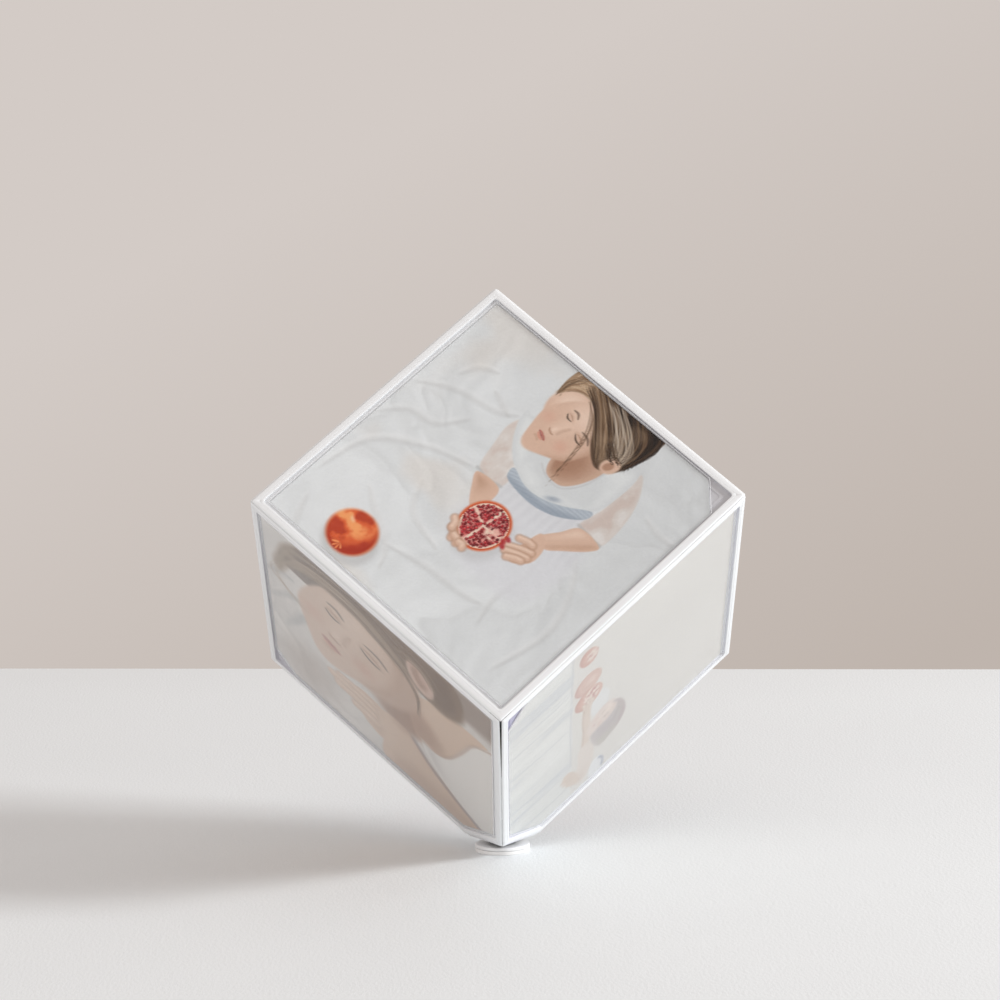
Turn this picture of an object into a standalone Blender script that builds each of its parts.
"""Rotating photo cube that stands on one corner on a small disc foot.

Six mitred trays, each with a print under a loose clear cover, close round a battery drive that
turns the cube about its upright body diagonal. Metres, +Z up, -Y towards the viewer. The origin is
on the surface it stands on, under the middle of the foot, and +Z is the axis it turns about.
"""

import math

import bmesh
import bpy
from mathutils import Matrix, Vector

# ---------------------------------------------------------------- driving dimensions
EDGE = 0.096  # outside edge of the whole cube
WALL = 0.0036  # thickness of one tray, outer face to back
CORNER_CUT = 0.0149  # length of each edge that is missing at the corner it stands on
STAND_HEIGHT = 0.0033  # the cut corner above the surface it stands on

FIT = 0.0003  # gap left between pieces that touch
MITRE_SET = 0.00022  # each tray's sides are set in from the true mitre by this much
CHAMFER = 0.0008  # width of the flat broken edge on each tray's outer face
BORDER = 0.0028  # outer edge of a tray to its recess

COVER_SINK = 0.0002  # the cover's face below the tray's face
COVER_THICK = 0.0010
COVER_GAP_TIGHT = 0.0004  # along the two sides at the clipped corner
COVER_GAP_LOOSE = 0.0009  # along the other two sides
COVER_CLIP = 0.0077  # leg of the clipped corner
PRINT_THICK = 0.0002
PRINT_INSET = 0.0004  # the print inside the cover's outline

GUSSET_LEG = 0.013  # each three-way corner block along its three edges
GUSSET_TIP = 0.0016  # its thickness at the ends of its legs

FOOT_RADIUS = 0.0078
PAD_THICK = 0.0008
DISC_THICK = 0.0010
DISC_EASE = 0.00025
SHAFT_RADIUS = 0.0015
SHAFT_CLIP_THICK = 0.0006
SHAFT_CLIP_OPENING = 70.0  # in degrees
SHAFT_CLIP_STEPS = 14
BUSH_RADIUS = 0.0040
BUSH_OVER_BOSS = 0.006  # the bush's top above the boss's bottom
BOSS_RIM = 0.0018  # the boss's width round the bush, at its bottom
BOSS_WALL = 0.0022

PLATE_THICK = 0.002
PLATE_TO_OUTPUT_GEAR = 0.0020
WHEEL_TO_UPPER_PLATE = 0.0025
UPPER_PLATE_MARGIN = 0.0025  # beyond the motor
PILLAR_RADIUS = 0.0016
PILLAR_CLEAR = 0.0018  # between the pillars and the output gear
PILLAR_ANGLES = (340.0, 60.0, 130.0)
SCREW_RADIUS = 0.0008
SCREW_HEAD_RADIUS = 0.0015
SCREW_HEAD_HEIGHT = 0.0010
SCREW_CROWN_RADIUS = 0.00105
SCREW_LENGTH = 0.006

GEAR_MODULE = 0.0005
WHEEL_TEETH = 36
PINION_TEETH = 12
TOOTH_OUT = 0.75  # in modules, from the pitch circle
TOOTH_IN = 1.0
TOOTH_TIP = 0.09  # half widths, in shares of the pitch
TOOTH_ROOT = 0.26
OUTPUT_GEAR_WIDE = 0.003
GEAR_STEP = 0.0010  # between the output gear and the wheel above it
WHEEL_CLEAR = 0.0006  # between the compound gear's wheel and the lower panels
COMPOUND_WHEEL_WIDE = 0.002
COMPOUND_ANGLE = 210.0  # where the compound gear stands round the shaft, in degrees
MOTOR_ANGLE = 270.0
AXLE_RADIUS = 0.0010

MOTOR_RADIUS = 0.008
MOTOR_LENGTH = 0.0127
MOTOR_EASE = 0.0006
MOTOR_SHAFT_RADIUS = 0.00075

CELL_RADIUS = 0.0071
CELL_LENGTH = 0.0490
CELL_NUB_RADIUS = 0.0027
CELL_NUB_LENGTH = 0.0012
CELL_EASE = 0.0005
CELL_Y = 0.008
CELL_OVER_PLATE = 0.0235  # the cell's middle above the upper gear plate
SPRING_LENGTH = 0.0024
SPRING_WIRE = 0.0003
SPRING_TURNS = 2.5
SPRING_WIDE_END = 1.45  # in radii of the cell's nub
SPRING_NARROW_END = 0.90
SPRING_STEPS = 40
CONTACT_THICK = 0.0005
CONTACT_WIDE = 0.009
CRADLE_WALL = 0.002
POST_RADIUS = 0.002
POST_X = 0.016

SWITCH_SIZE = (0.008, 0.013, 0.0055)
SLIDER_SIZE = (0.003, 0.003, 0.004)
SLIDER_TRAVEL = 0.002  # each way from the middle
LEAD_RADIUS = 0.0005
LEAD_RISE = 0.003  # how far a lead stands off what it is soldered to
LEAD_OUT = 0.004  # how far the leads pass in front of the cradle
LEAD_BEND = 0.6  # where the motor's lead turns down, in shares of the cell's half room

ROUND = 32  # sides of a round piece
SMALL_ROUND = 16
SHARP_ANGLE = 35.0  # edges over this stay sharp, in degrees

# ---------------------------------------------------------------- worked out from them
POCKET = COVER_SINK + COVER_THICK + PRINT_THICK + 2 * FIT
CORNER_Z = STAND_HEIGHT - CORNER_CUT / math.sqrt(3)  # where the missing corner would be
INNER_CORNER_Z = CORNER_Z + math.sqrt(3) * WALL
GEAR_CENTRES = GEAR_MODULE * (WHEEL_TEETH + PINION_TEETH) / 2
WHEEL_TIP = GEAR_MODULE * (WHEEL_TEETH / 2 + TOOTH_OUT)
SHAFT_BORE = SHAFT_RADIUS + FIT
BUSH_BORE = BUSH_RADIUS + FIT


def room_at(radius):
    """Height from which the three lower trays leave room for an upright cylinder of a radius."""
    return INNER_CORNER_Z + math.sqrt(2) * radius


BOSS_BOTTOM = room_at(BUSH_BORE + FIT + BOSS_RIM)
BUSH_TOP = BOSS_BOTTOM + BUSH_OVER_BOSS
COMPOUND_WHEEL_Z = room_at(GEAR_CENTRES + WHEEL_TIP + WHEEL_CLEAR)
OUTPUT_GEAR_Z = COMPOUND_WHEEL_Z - GEAR_STEP - OUTPUT_GEAR_WIDE
LOWER_PLATE_Z = OUTPUT_GEAR_Z - PLATE_TO_OUTPUT_GEAR - PLATE_THICK
UPPER_PLATE_Z = COMPOUND_WHEEL_Z + COMPOUND_WHEEL_WIDE + WHEEL_TO_UPPER_PLATE
UPPER_PLATE_RADIUS = GEAR_CENTRES + MOTOR_RADIUS + UPPER_PLATE_MARGIN
PILLAR_CIRCLE = WHEEL_TIP + PILLAR_CLEAR + PILLAR_RADIUS
PLATES_GAP_BOTTOM = LOWER_PLATE_Z + PLATE_THICK + FIT
UPPER_PLATE_TOP = UPPER_PLATE_Z + PLATE_THICK
MOTOR_Z = UPPER_PLATE_TOP + FIT
CELL_Z = UPPER_PLATE_TOP + CELL_OVER_PLATE
CRADLE_BOTTOM = CELL_Z - CELL_RADIUS - 2 * FIT - CRADLE_WALL

TO_RIGHT = Vector((math.sqrt(0.5), math.sqrt(1 / 6), math.sqrt(1 / 3)))  # edge to the back right
TO_LEFT = Vector((-math.sqrt(0.5), math.sqrt(1 / 6), math.sqrt(1 / 3)))  # edge to the back left
TO_FRONT = Vector((0, -math.sqrt(2 / 3), math.sqrt(1 / 3)))  # edge to the front

# Each panel: the corner where its cover is clipped, and its two directions from there, along the
# edges to the right, left and front. Turning the cube a third round takes one to the next.
UPPER_PANELS = {
    "front_upper": ((1, 0, 1), (0, 1, 0), (-1, 0, 0)),
    "back_left_upper": ((0, 1, 1), (1, 0, 0), (0, 0, -1)),
    "back_right_upper": ((1, 1, 0), (0, 0, 1), (0, -1, 0)),
}
LOWER_PANELS = {
    "front_right_lower": ((0, 0, 1), (0, 0, -1), (1, 0, 0)),
    "front_left_lower": ((0, 1, 0), (0, -1, 0), (0, 0, 1)),
    "back_lower": ((1, 0, 0), (-1, 0, 0), (0, 1, 0)),
}
GUSSETS = {
    "corner_block_top": (1, 1, 1),
    "corner_block_upper_left": (0, 1, 1),
    "corner_block_upper_right": (1, 0, 1),
    "corner_block_upper_back": (1, 1, 0),
    "corner_block_lower_front": (0, 0, 1),
    "corner_block_lower_left": (0, 1, 0),
    "corner_block_lower_right": (1, 0, 0),
}

# name: (colour, roughness, metallic)
FINISHES = {
    "white_plastic": ((0.84, 0.83, 0.81), 0.38, 0.0),
    "clear_acrylic": ((0.93, 0.95, 0.96), 0.05, 0.0),
    "print_paper": ((0.62, 0.58, 0.55), 0.30, 0.0),
    "grey_plastic": ((0.30, 0.30, 0.31), 0.50, 0.0),
    "black_plastic": ((0.03, 0.03, 0.03), 0.45, 0.0),
    "rubber": ((0.74, 0.72, 0.70), 0.80, 0.0),
    "gear_nylon": ((0.80, 0.78, 0.70), 0.45, 0.0),
    "steel": ((0.60, 0.60, 0.60), 0.30, 1.0),
    "brass": ((0.72, 0.52, 0.22), 0.30, 1.0),
    "cell_jacket": ((0.20, 0.28, 0.36), 0.35, 0.0),
    "lead_red": ((0.45, 0.03, 0.02), 0.45, 0.0),
    "lead_black": ((0.02, 0.02, 0.02), 0.45, 0.0),
}


# ---------------------------------------------------------------- helpers
def clear_scene():
    for ob in list(bpy.data.objects):
        bpy.data.objects.remove(ob, do_unlink=True)


def material(name, finish):
    """A Principled material of its own for one piece."""
    colour, rough, metal = FINISHES[finish]
    made = bpy.data.materials.new(f"{name}_{finish}")
    made.use_nodes = True
    shader = made.node_tree.nodes["Principled BSDF"]
    shader.inputs["Base Color"].default_value = (*colour, 1)
    shader.inputs["Roughness"].default_value = rough
    shader.inputs["Metallic"].default_value = metal
    if finish == "clear_acrylic":
        shader.inputs["Transmission Weight"].default_value = 1
        shader.inputs["IOR"].default_value = 1.49
    return made


def add_object(name, bm, finish, parent=None, smooth=False):
    """Turns a bmesh into a named object whose faces point outwards."""
    bmesh.ops.remove_doubles(bm, verts=bm.verts, dist=1e-6)
    bmesh.ops.recalc_face_normals(bm, faces=bm.faces)
    mesh = bpy.data.meshes.new(name)
    bm.to_mesh(mesh)
    bm.free()
    if smooth:
        mesh.shade_smooth()
        mesh.set_sharp_from_angle(angle=math.radians(SHARP_ANGLE))
    ob = bpy.data.objects.new(name, mesh)
    bpy.context.collection.objects.link(ob)
    if finish:
        mesh.materials.append(material(name, finish))
    ob.parent = parent
    return ob


def add_empty(name, matrix, parent=None):
    empty = bpy.data.objects.new(name, None)
    bpy.context.collection.objects.link(empty)
    empty.parent = parent
    empty.matrix_local = matrix
    return empty


def at(x, y, z=0.0):
    return Matrix.Translation((x, y, z))


def round_spot(radius, degrees):
    turn = math.radians(degrees)
    return radius * math.cos(turn), radius * math.sin(turn)


def loft(name, loops, finish, parent=None):
    """A closed skin through loops of equal count, with a flat face on the first and the last."""
    bm = bmesh.new()
    rings = [[bm.verts.new(p) for p in loop] for loop in loops]
    for low, high in zip(rings, rings[1:]):
        for i in range(len(low)):
            j = (i + 1) % len(low)
            bm.faces.new((low[i], low[j], high[j], high[i]))
    bm.faces.new(rings[0])
    bm.faces.new(rings[-1])
    return add_object(name, bm, finish, parent)


def circle(radius, sides, x=0.0, y=0.0):
    step = 2 * math.pi / sides
    return [(x + radius * math.cos(i * step), y + radius * math.sin(i * step)) for i in range(sides)]


def slab(name, outline, holes, bottom, top, finish, parent=None, smooth=False):
    """A flat outline with holes, raised from bottom to top."""
    bm = bmesh.new()
    for loop in (outline, *holes):
        verts = [bm.verts.new((x, y, bottom)) for x, y in loop]
        for i, vert in enumerate(verts):
            bm.edges.new((vert, verts[(i + 1) % len(verts)]))
    bmesh.ops.triangle_fill(bm, use_beauty=True, edges=bm.edges)
    raised = bmesh.ops.extrude_face_region(bm, geom=bm.faces[:], use_keep_orig=True)
    new_verts = [v for v in raised["geom"] if isinstance(v, bmesh.types.BMVert)]
    bmesh.ops.translate(bm, vec=(0, 0, top - bottom), verts=new_verts)
    return add_object(name, bm, finish, parent, smooth)


def turned(name, profile, finish, parent=None, sides=ROUND, closed=False):
    """Spins a profile of (radius, height) about Z. A closed profile leaves a bore."""
    bm = bmesh.new()
    verts = [bm.verts.new((r, 0, z)) for r, z in profile]
    edges = [bm.edges.new(pair) for pair in zip(verts, verts[1:])]
    if closed:
        edges.append(bm.edges.new((verts[-1], verts[0])))
    bmesh.ops.spin(
        bm, geom=verts + edges, axis=(0, 0, 1), cent=(0, 0, 0), steps=sides, angle=2 * math.pi
    )
    return add_object(name, bm, finish, parent, smooth=True)


def pin(name, radius, bottom, top, finish, parent, sides=SMALL_ROUND):
    """A plain upright pin on its parent's Z axis."""
    profile = [(0, bottom), (radius, bottom), (radius, top), (0, top)]
    return turned(name, profile, finish, parent, sides)


def block(name, size, finish, parent=None):
    bm = bmesh.new()
    bmesh.ops.create_cube(bm, size=1, matrix=Matrix.Diagonal((*size, 1)))
    return add_object(name, bm, finish, parent)


def cutter(ob):
    ob.hide_render = True
    ob.display_type = "WIRE"
    return ob


def boolean(ob, other, operation="DIFFERENCE"):
    made = ob.modifiers.new(other.name, "BOOLEAN")
    made.object = cutter(other)
    made.operation = operation
    made.solver = "EXACT"


def corner_radius(z):
    """Radius of the largest upright cylinder that the three lower trays leave room for at z."""
    return (z - INNER_CORNER_Z) / math.sqrt(2)


# ---------------------------------------------------------------- the six panels
def panel_outline(inset, cut, clip=0.0, far_inset=None):
    """A panel's outline in its own plane, with the clipped corner at the start.

    inset holds off the two sides that meet there and far_inset the other two; cut is the leg of
    the missing corner that the cube stands on, or None for an upper panel.
    """
    near = inset
    far = EDGE - (inset if far_inset is None else far_inset)
    points = [(near, near + clip), (near + clip, near)] if clip else [(near, near)]
    if cut is None:
        points.append((far, near))
    else:
        points += [(EDGE - cut + near, near), (far, cut - (EDGE - far))]
    points += [(far, far), (near, far)]
    return points


def at_depth(outline, depth):
    return [(u, v, -depth) for u, v in outline]


def tray_loops(lower):
    """Back, mitre, broken edge, outer face, recess and its floor, as loops of equal count."""

    def mitre(depth):
        cut = CORNER_CUT - depth if lower else None
        return at_depth(panel_outline(depth + MITRE_SET, cut), depth)

    face_cut = CORNER_CUT + CHAMFER if lower else None
    recess_cut = CORNER_CUT + math.sqrt(2) * BORDER if lower else None
    recess = panel_outline(BORDER, recess_cut)
    return [
        mitre(WALL),
        mitre(CHAMFER / 2),
        at_depth(panel_outline(CHAMFER + MITRE_SET, face_cut), 0),
        at_depth(recess, 0),
        at_depth(recess, POCKET),
    ]


def loose_sheet(name, lower, inset, top, thick, finish, parent):
    """A cover or a print: the recess's outline less its gaps, with the clipped corner."""
    edge_cut = CORNER_CUT + math.sqrt(2) * (BORDER + COVER_GAP_TIGHT + inset)
    outline = panel_outline(
        BORDER + COVER_GAP_TIGHT + inset,
        edge_cut if lower else None,
        COVER_CLIP,
        BORDER + COVER_GAP_LOOSE + inset,
    )
    return loft(name, [at_depth(outline, top + thick), at_depth(outline, top)], finish, parent)


def add_panel(place, where, lower, cube, shaft_room):
    corner, along_u, along_v = (Vector(v) for v in where)
    outward = along_u.cross(along_v)
    matrix = Matrix((along_u, along_v, outward)).transposed().to_4x4()
    matrix.translation = corner * EDGE
    seat = add_empty(f"{place}_seat", matrix, cube)
    tray = loft(f"{place}_frame", tray_loops(lower), "white_plastic", seat)
    if lower:
        boolean(tray, shaft_room)
    print_top = COVER_SINK + COVER_THICK + FIT
    loose_sheet(
        f"{place}_print", lower, PRINT_INSET, print_top, PRINT_THICK, "print_paper", seat
    )
    loose_sheet(f"{place}_cover", lower, 0, COVER_SINK, COVER_THICK, "clear_acrylic", seat)


def add_gusset(name, corner, cube):
    """A three-way block in one inside corner: a corner tetrahedron with its tips cut off."""
    inward = [1 - 2 * side for side in corner]
    start = [side * EDGE + sign * (WALL + FIT) for side, sign in zip(corner, inward)]
    tip = GUSSET_TIP
    bm = bmesh.new()
    verts = [bm.verts.new(start)]
    for axis in range(3):
        for other in ((axis + 1) % 3, (axis + 2) % 3):
            point = list(start)
            point[axis] += inward[axis] * (GUSSET_LEG - tip)
            point[other] += inward[other] * tip
            verts.append(bm.verts.new(point))
        point = list(start)
        point[axis] += inward[axis] * (GUSSET_LEG - tip)
        verts.append(bm.verts.new(point))
    bmesh.ops.convex_hull(bm, input=verts)
    add_object(name, bm, "white_plastic", cube)


# ---------------------------------------------------------------- foot and bearing
def add_foot(foot):
    disc_bottom = PAD_THICK + FIT
    disc_top = disc_bottom + DISC_THICK
    pin("foot_pad", FOOT_RADIUS, 0, PAD_THICK, "rubber", foot, ROUND)
    profile = [
        (SHAFT_BORE, disc_bottom),
        (FOOT_RADIUS - DISC_EASE, disc_bottom),
        (FOOT_RADIUS, disc_bottom + DISC_EASE),
        (FOOT_RADIUS, disc_top - DISC_EASE),
        (FOOT_RADIUS - DISC_EASE, disc_top),
        (SHAFT_BORE, disc_top),
    ]
    turned("foot_disc", profile, "white_plastic", foot, closed=True)
    pin("foot_shaft", SHAFT_RADIUS, disc_bottom, UPPER_PLATE_TOP - PLATE_THICK / 2, "steel", foot)
    outer = SHAFT_RADIUS * 2
    opening = math.radians(SHAFT_CLIP_OPENING)
    step = (2 * math.pi - opening) / SHAFT_CLIP_STEPS
    turns = [opening / 2 + step * i for i in range(SHAFT_CLIP_STEPS + 1)]
    ring = [(outer * math.cos(t), outer * math.sin(t)) for t in turns]
    ring += [(SHAFT_BORE * math.cos(t), SHAFT_BORE * math.sin(t)) for t in reversed(turns)]
    clip_top = PLATES_GAP_BOTTOM + SHAFT_CLIP_THICK
    slab("shaft_clip", ring, [], PLATES_GAP_BOTTOM, clip_top, "steel", foot)
    teeth = gear_outline(WHEEL_TEETH, math.radians(COMPOUND_ANGLE))
    bore = circle(SHAFT_BORE, SMALL_ROUND)
    slab("output_gear", teeth, [bore], OUTPUT_GEAR_Z, OUTPUT_GEAR_Z + OUTPUT_GEAR_WIDE,
         "gear_nylon", foot)


def add_bearing(cube):
    bush_bottom = PAD_THICK + DISC_THICK + 2 * FIT
    profile = [
        (SHAFT_BORE, bush_bottom),
        (BUSH_RADIUS, bush_bottom),
        (BUSH_RADIUS, BUSH_TOP),
        (SHAFT_BORE, BUSH_TOP),
    ]
    turned("bearing_bush", profile, "black_plastic", cube, closed=True)
    top = LOWER_PLATE_Z - FIT
    hollow_bottom = BUSH_TOP + FIT
    profile = [
        (BUSH_BORE, BOSS_BOTTOM),
        (corner_radius(BOSS_BOTTOM) - FIT, BOSS_BOTTOM),
        (corner_radius(top) - FIT, top),
        (corner_radius(hollow_bottom) - BOSS_WALL, top),
        (corner_radius(hollow_bottom) - BOSS_WALL, hollow_bottom),
        (BUSH_BORE, hollow_bottom),
    ]
    turned("corner_boss", profile, "white_plastic", cube, closed=True)


# ---------------------------------------------------------------- gear train
def gear_outline(teeth, tooth_at, x=0.0, y=0.0):
    """Straight-flanked teeth, one of them centred on the direction tooth_at."""
    pitch_radius = GEAR_MODULE * teeth / 2
    tip = pitch_radius + TOOTH_OUT * GEAR_MODULE
    root = pitch_radius - TOOTH_IN * GEAR_MODULE
    pitch = 2 * math.pi / teeth
    shape = ((-TOOTH_ROOT, root), (-TOOTH_TIP, tip), (TOOTH_TIP, tip), (TOOTH_ROOT, root))
    points = []
    for i in range(teeth):
        for share, radius in shape:
            turn = tooth_at + (i + share) * pitch
            points.append((x + radius * math.cos(turn), y + radius * math.sin(turn)))
    return points


def add_gear_train(cube, compound, pinion):
    compound_x, compound_y = round_spot(GEAR_CENTRES, COMPOUND_ANGLE)
    motor_x, motor_y = round_spot(GEAR_CENTRES, MOTOR_ANGLE)
    to_motor = math.atan2(motor_y - compound_y, motor_x - compound_x)
    half_pinion = math.pi / PINION_TEETH
    axle_bore = AXLE_RADIUS + FIT

    wheel_top = COMPOUND_WHEEL_Z + COMPOUND_WHEEL_WIDE
    wheel = gear_outline(WHEEL_TEETH, to_motor)
    gear = slab("compound_gear", wheel, [circle(axle_bore, SMALL_ROUND)], COMPOUND_WHEEL_Z,
                wheel_top, "gear_nylon", compound)
    meets_output = math.radians(COMPOUND_ANGLE) + math.pi + half_pinion
    small = gear_outline(PINION_TEETH, meets_output)
    low = slab("compound_pinion_teeth", small, [circle(axle_bore, SMALL_ROUND)],
               OUTPUT_GEAR_Z - FIT, COMPOUND_WHEEL_Z + FIT, None, compound)
    boolean(gear, low, "UNION")

    meets_compound = to_motor + math.pi + half_pinion
    bore = circle(MOTOR_SHAFT_RADIUS + FIT, SMALL_ROUND)
    pinion_bottom = COMPOUND_WHEEL_Z - FIT
    slab("motor_pinion", gear_outline(PINION_TEETH, meets_compound), [bore], pinion_bottom,
         wheel_top + FIT, "brass", pinion)
    pin("motor_shaft", MOTOR_SHAFT_RADIUS, pinion_bottom, UPPER_PLATE_TOP, "steel", pinion)
    seat = add_empty("compound_axle_seat", at(compound_x, compound_y), cube)
    pin("compound_axle", AXLE_RADIUS, LOWER_PLATE_Z + FIT, UPPER_PLATE_TOP - FIT, "steel", seat)


def add_plates(cube):
    compound = round_spot(GEAR_CENTRES, COMPOUND_ANGLE)
    motor = round_spot(GEAR_CENTRES, MOTOR_ANGLE)
    shaft_hole = circle(SHAFT_BORE, SMALL_ROUND)
    axle_hole = circle(AXLE_RADIUS + FIT, SMALL_ROUND, *compound)
    motor_hole = circle(MOTOR_SHAFT_RADIUS + 2 * FIT, SMALL_ROUND, *motor)
    lower_radius = corner_radius(LOWER_PLATE_Z) - 2 * FIT
    slab("lower_gear_plate", circle(lower_radius, ROUND), [shaft_hole, axle_hole], LOWER_PLATE_Z,
         LOWER_PLATE_Z + PLATE_THICK, "grey_plastic", cube)
    spots = [round_spot(PILLAR_CIRCLE, angle) for angle in PILLAR_ANGLES]
    screw_holes = [circle(SCREW_RADIUS + FIT, SMALL_ROUND, *spot) for spot in spots]
    slab("upper_gear_plate", circle(UPPER_PLATE_RADIUS, ROUND),
         [shaft_hole, axle_hole, motor_hole, *screw_holes], UPPER_PLATE_Z, UPPER_PLATE_TOP,
         "grey_plastic", cube)
    for number, spot in enumerate(spots, 1):
        seat = add_empty(f"pillar_seat_{number}", at(*spot), cube)
        add_pillar(number, seat)


def add_pillar(number, seat):
    """A pillar between the two plates, bored at its top for the screw through the upper plate."""
    bottom = PLATES_GAP_BOTTOM
    top = UPPER_PLATE_Z - FIT
    head_bottom = UPPER_PLATE_TOP + FIT
    screw_end = head_bottom - SCREW_LENGTH
    bore = SCREW_RADIUS + FIT
    profile = [
        (0, bottom),
        (PILLAR_RADIUS, bottom),
        (PILLAR_RADIUS, top),
        (bore, top),
        (bore, screw_end - FIT),
        (0, screw_end - FIT),
    ]
    turned(f"gear_plate_pillar_{number}", profile, "grey_plastic", seat, SMALL_ROUND)
    head_top = head_bottom + SCREW_HEAD_HEIGHT
    profile = [
        (0, screw_end),
        (SCREW_RADIUS, screw_end),
        (SCREW_RADIUS, head_bottom),
        (SCREW_HEAD_RADIUS, head_bottom),
        (SCREW_HEAD_RADIUS, head_bottom + SCREW_HEAD_HEIGHT / 2),
        (SCREW_CROWN_RADIUS, head_top),
        (0, head_top),
    ]
    turned(f"gear_plate_screw_{number}", profile, "steel", seat, SMALL_ROUND)


def add_motor(cube):
    seat = add_empty("motor_seat", at(*round_spot(GEAR_CENTRES, MOTOR_ANGLE), MOTOR_Z), cube)
    profile = [
        (0, 0),
        (MOTOR_RADIUS - MOTOR_EASE, 0),
        (MOTOR_RADIUS, MOTOR_EASE),
        (MOTOR_RADIUS, MOTOR_LENGTH - MOTOR_EASE),
        (MOTOR_RADIUS - MOTOR_EASE, MOTOR_LENGTH),
        (0, MOTOR_LENGTH),
    ]
    turned("geared_motor", profile, "steel", seat)


# ---------------------------------------------------------------- battery, switch and leads
def cell_room():
    """Half the length between the two contact plates."""
    return (CELL_LENGTH + CELL_NUB_LENGTH + SPRING_LENGTH + 3 * FIT) / 2


def add_cell(body):
    """The cell lies along X, with its nub to the left and the spring to the right."""
    start = -cell_room() + FIT
    lie = Matrix.Translation((0, CELL_Y, CELL_Z)) @ Matrix.Rotation(math.radians(90), 4, "Y")
    seat = add_empty("cell_seat", lie, body)
    shoulder = start + CELL_NUB_LENGTH
    end = shoulder + CELL_LENGTH
    profile = [
        (0, start),
        (CELL_NUB_RADIUS, start),
        (CELL_NUB_RADIUS, shoulder),
        (CELL_RADIUS - CELL_EASE, shoulder),
        (CELL_RADIUS, shoulder + CELL_EASE),
        (CELL_RADIUS, end - CELL_EASE),
        (CELL_RADIUS - CELL_EASE, end),
        (0, end),
    ]
    turned("battery_cell", profile, "cell_jacket", seat)


def add_cradle(cube):
    half = cell_room() + CONTACT_THICK + 2 * FIT
    outer = half + CRADLE_WALL
    room = CELL_RADIUS + 2 * FIT
    wide = 2 * (room + CRADLE_WALL)
    high = CELL_Z - CRADLE_BOTTOM
    seat = add_empty("cradle_seat", at(0, CELL_Y, CRADLE_BOTTOM + high / 2), cube)
    cradle = block("battery_cradle", (2 * outer, wide, high), "black_plastic", seat)
    lie = Matrix.Translation((0, 0, high / 2)) @ Matrix.Rotation(math.radians(90), 4, "Y")
    trough_seat = add_empty("cradle_trough_seat", lie, seat)
    boolean(cradle, pin("cradle_trough", room, -half, half, None, trough_seat, ROUND))
    for side, name in ((-1, "positive_contact"), (1, "negative_contact")):
        x = side * (cell_room() + CONTACT_THICK / 2 + FIT)
        plate_seat = add_empty(f"{name}_seat", at(x, CELL_Y, CELL_Z), cube)
        block(name, (CONTACT_THICK, CONTACT_WIDE, CONTACT_WIDE), "steel", plate_seat)
    for side, name in ((-1, "cradle_post_left"), (1, "cradle_post_right")):
        post_seat = add_empty(f"{name}_seat", at(side * POST_X, CELL_Y), cube)
        ends = UPPER_PLATE_TOP + FIT, CRADLE_BOTTOM - FIT
        pin(name, POST_RADIUS, *ends, "grey_plastic", post_seat)


def tube(name, points, radius, finish, parent, resolution=2):
    """A tube with filled ends along a line of points."""
    line = bpy.data.curves.new(name, "CURVE")
    line.dimensions = "3D"
    line.bevel_depth = radius
    line.bevel_resolution = resolution
    line.use_fill_caps = True
    spline = line.splines.new("POLY")
    spline.points.add(len(points) - 1)
    for spot, point in zip(spline.points, points):
        spot.co = (*point, 1)
    line.materials.append(material(name, finish))
    ob = bpy.data.objects.new(name, line)
    bpy.context.collection.objects.link(ob)
    ob.parent = parent
    return ob


def add_contact_spring(cube):
    """A conical coil between the negative contact and the cell."""
    end = cell_room() - SPRING_WIRE
    length = SPRING_LENGTH - 2 * SPRING_WIRE - FIT
    points = []
    for i in range(SPRING_STEPS + 1):
        share = i / SPRING_STEPS
        angle = 2 * math.pi * SPRING_TURNS * share
        narrowed = SPRING_WIDE_END + (SPRING_NARROW_END - SPRING_WIDE_END) * share
        radius = CELL_NUB_RADIUS * narrowed
        points.append((
            end - length * share,
            CELL_Y + radius * math.cos(angle),
            CELL_Z + radius * math.sin(angle),
        ))
    tube("contact_spring", points, SPRING_WIRE, "steel", cube, resolution=1)


def add_switch(cube, slider_body):
    motor_x, motor_y = round_spot(GEAR_CENTRES, MOTOR_ANGLE)
    bottom = MOTOR_Z + MOTOR_LENGTH + FIT
    wide, long, high = SWITCH_SIZE
    seat = add_empty("switch_seat", at(motor_x, motor_y, bottom + high / 2), cube)
    body = block("switch_body", SWITCH_SIZE, "black_plastic", seat)
    slide_wide, slide_long, slide_high = SLIDER_SIZE
    slot_deep = slide_high / 2
    slot_seat = add_empty("switch_slot_seat", at(0, 0, high / 2), seat)
    slot_size = (slide_wide + 2 * FIT, slide_long + 2 * SLIDER_TRAVEL + 2 * FIT, 2 * slot_deep)
    boolean(body, block("switch_slot", slot_size, None, slot_seat))
    top = bottom + high - slot_deep + FIT + slide_high / 2
    slider_seat = add_empty("slider_seat", at(motor_x, motor_y - SLIDER_TRAVEL, top), slider_body)
    block("switch_slider", SLIDER_SIZE, "white_plastic", slider_seat)


def smooth_route(knots, steps=6):
    """Points of a Catmull-Rom curve through the knots."""
    ends = [knots[0] * 2 - knots[1], *knots, knots[-1] * 2 - knots[-2]]
    points = []
    for i in range(1, len(ends) - 2):
        before, start, end, after = ends[i - 1 : i + 3]
        for step in range(steps):
            t = step / steps
            points.append(
                0.5
                * (
                    2 * start
                    + (end - before) * t
                    + (2 * before - 5 * start + 4 * end - after) * t**2
                    + (3 * start - before - 3 * end + after) * t**3
                )
            )
    return [*points, knots[-1]]


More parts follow.
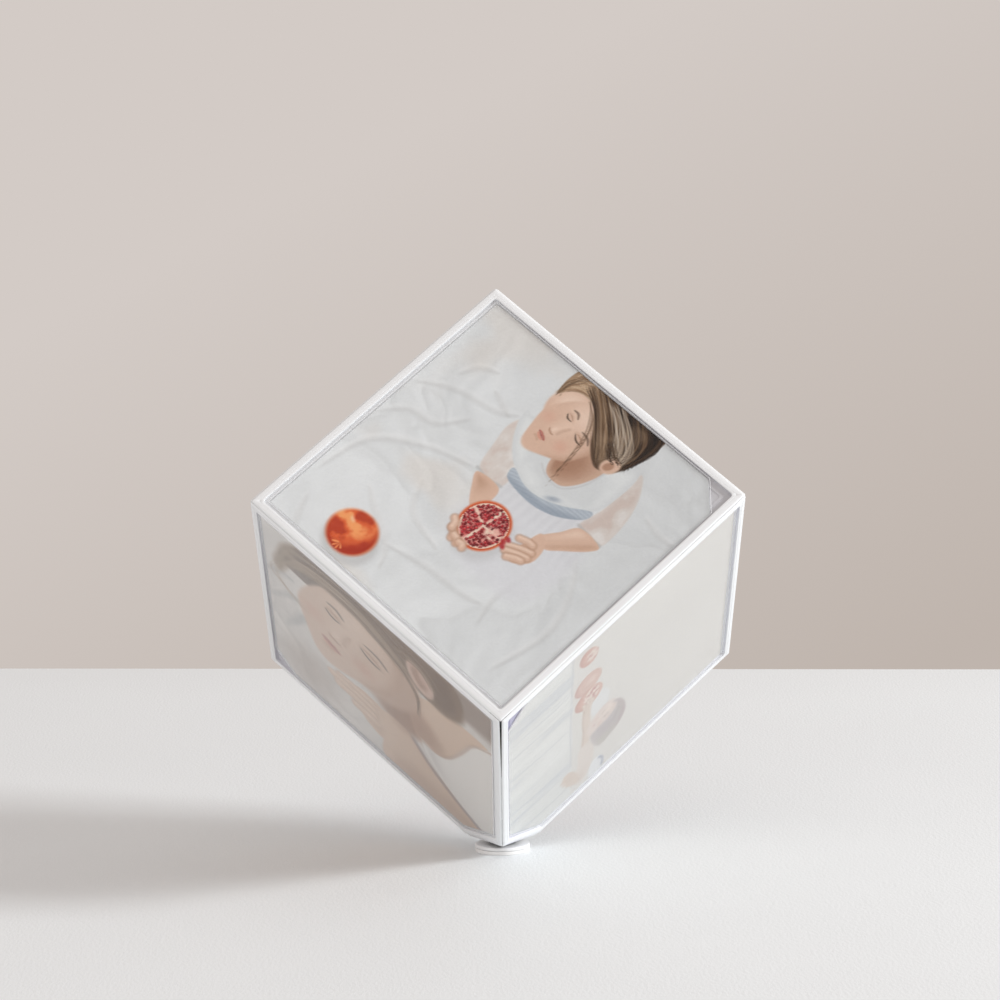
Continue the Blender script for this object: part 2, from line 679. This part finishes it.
def add_leads(cube):
    """Three leads: cell to switch, switch to motor, and cell to motor."""
    motor_x, motor_y = round_spot(GEAR_CENTRES, MOTOR_ANGLE)
    motor_top = MOTOR_Z + MOTOR_LENGTH
    switch_wide, switch_long, switch_high = SWITCH_SIZE
    switch_z = motor_top + FIT + switch_high / 2
    tab_top = CELL_Z + CONTACT_WIDE / 2 + 2 * FIT
    tab_x = cell_room() + CONTACT_THICK / 2 + FIT
    clear = LEAD_RADIUS + FIT
    cradle_front = CELL_Y - CELL_RADIUS - 2 * FIT - CRADLE_WALL
    rise = LEAD_RISE
    over = Vector((0, cradle_front - LEAD_OUT, tab_top))
    cell_to_switch = [
        Vector((-tab_x, CELL_Y, tab_top)),
        Vector((-tab_x, CELL_Y - rise, tab_top + rise)),
        over + Vector((-tab_x + rise, 0, 0)),
        Vector((-tab_x / 2, motor_y, switch_z + rise)),
        Vector((motor_x - switch_wide / 2 - clear, motor_y, switch_z)),
    ]
    tube("lead_cell_to_switch", smooth_route(cell_to_switch), LEAD_RADIUS, "lead_red", cube)
    cell_to_motor = [
        Vector((tab_x, CELL_Y, tab_top)),
        Vector((tab_x, CELL_Y - rise, tab_top + rise)),
        over + Vector((tab_x - rise, 0, 0)),
        Vector((tab_x * LEAD_BEND, motor_y, motor_top + rise)),
        Vector((motor_x + MOTOR_RADIUS + clear, motor_y, motor_top - rise)),
    ]
    tube("lead_cell_to_motor", smooth_route(cell_to_motor), LEAD_RADIUS, "lead_black", cube)
    switch_front = motor_y - switch_long / 2 - clear
    motor_front = motor_y - MOTOR_RADIUS - clear
    switch_to_motor = [
        Vector((motor_x, switch_front, switch_z)),
        Vector((motor_x, motor_front - rise / 2, switch_z - rise / 2)),
        Vector((motor_x, motor_front - rise, motor_top - rise / 2)),
        Vector((motor_x, motor_front, motor_top - 1.5 * rise)),
    ]
    tube("lead_switch_to_motor", smooth_route(switch_to_motor), LEAD_RADIUS, "lead_red", cube)


# ---------------------------------------------------------------- the whole
def corner_stand():
    """Turns the edges to the right, left and front into world directions, over the foot."""
    matrix = Matrix((TO_RIGHT, TO_LEFT, TO_FRONT)).transposed().to_4x4()
    matrix.translation = (0, 0, CORNER_Z)
    return matrix


def main():
    clear_scene()
    foot = add_empty("foot", Matrix.Identity(4))
    cube_axis = add_empty("cube_axis", Matrix.Identity(4))
    cube = add_empty("cube_on_corner", corner_stand(), cube_axis)
    compound = add_empty(
        "compound_axis", at(*round_spot(GEAR_CENTRES, COMPOUND_ANGLE)), cube_axis
    )
    pinion = add_empty("motor_axis", at(*round_spot(GEAR_CENTRES, MOTOR_ANGLE)), cube_axis)

    room = slab("shaft_room", circle(BUSH_BORE, ROUND), [], -WALL, BOSS_BOTTOM + WALL, None,
                cube_axis)
    for place, where in UPPER_PANELS.items():
        add_panel(place, where, False, cube, room)
    for place, where in LOWER_PANELS.items():
        add_panel(place, where, True, cube, room)
    for name, corner in GUSSETS.items():
        add_gusset(name, corner, cube)

    add_foot(foot)
    add_bearing(cube_axis)
    add_plates(cube_axis)
    add_gear_train(cube_axis, compound, pinion)
    add_motor(cube_axis)
    add_cradle(cube_axis)
    add_cell(cube_axis)
    add_contact_spring(cube_axis)
    add_switch(cube_axis, cube_axis)
    add_leads(cube_axis)


main()
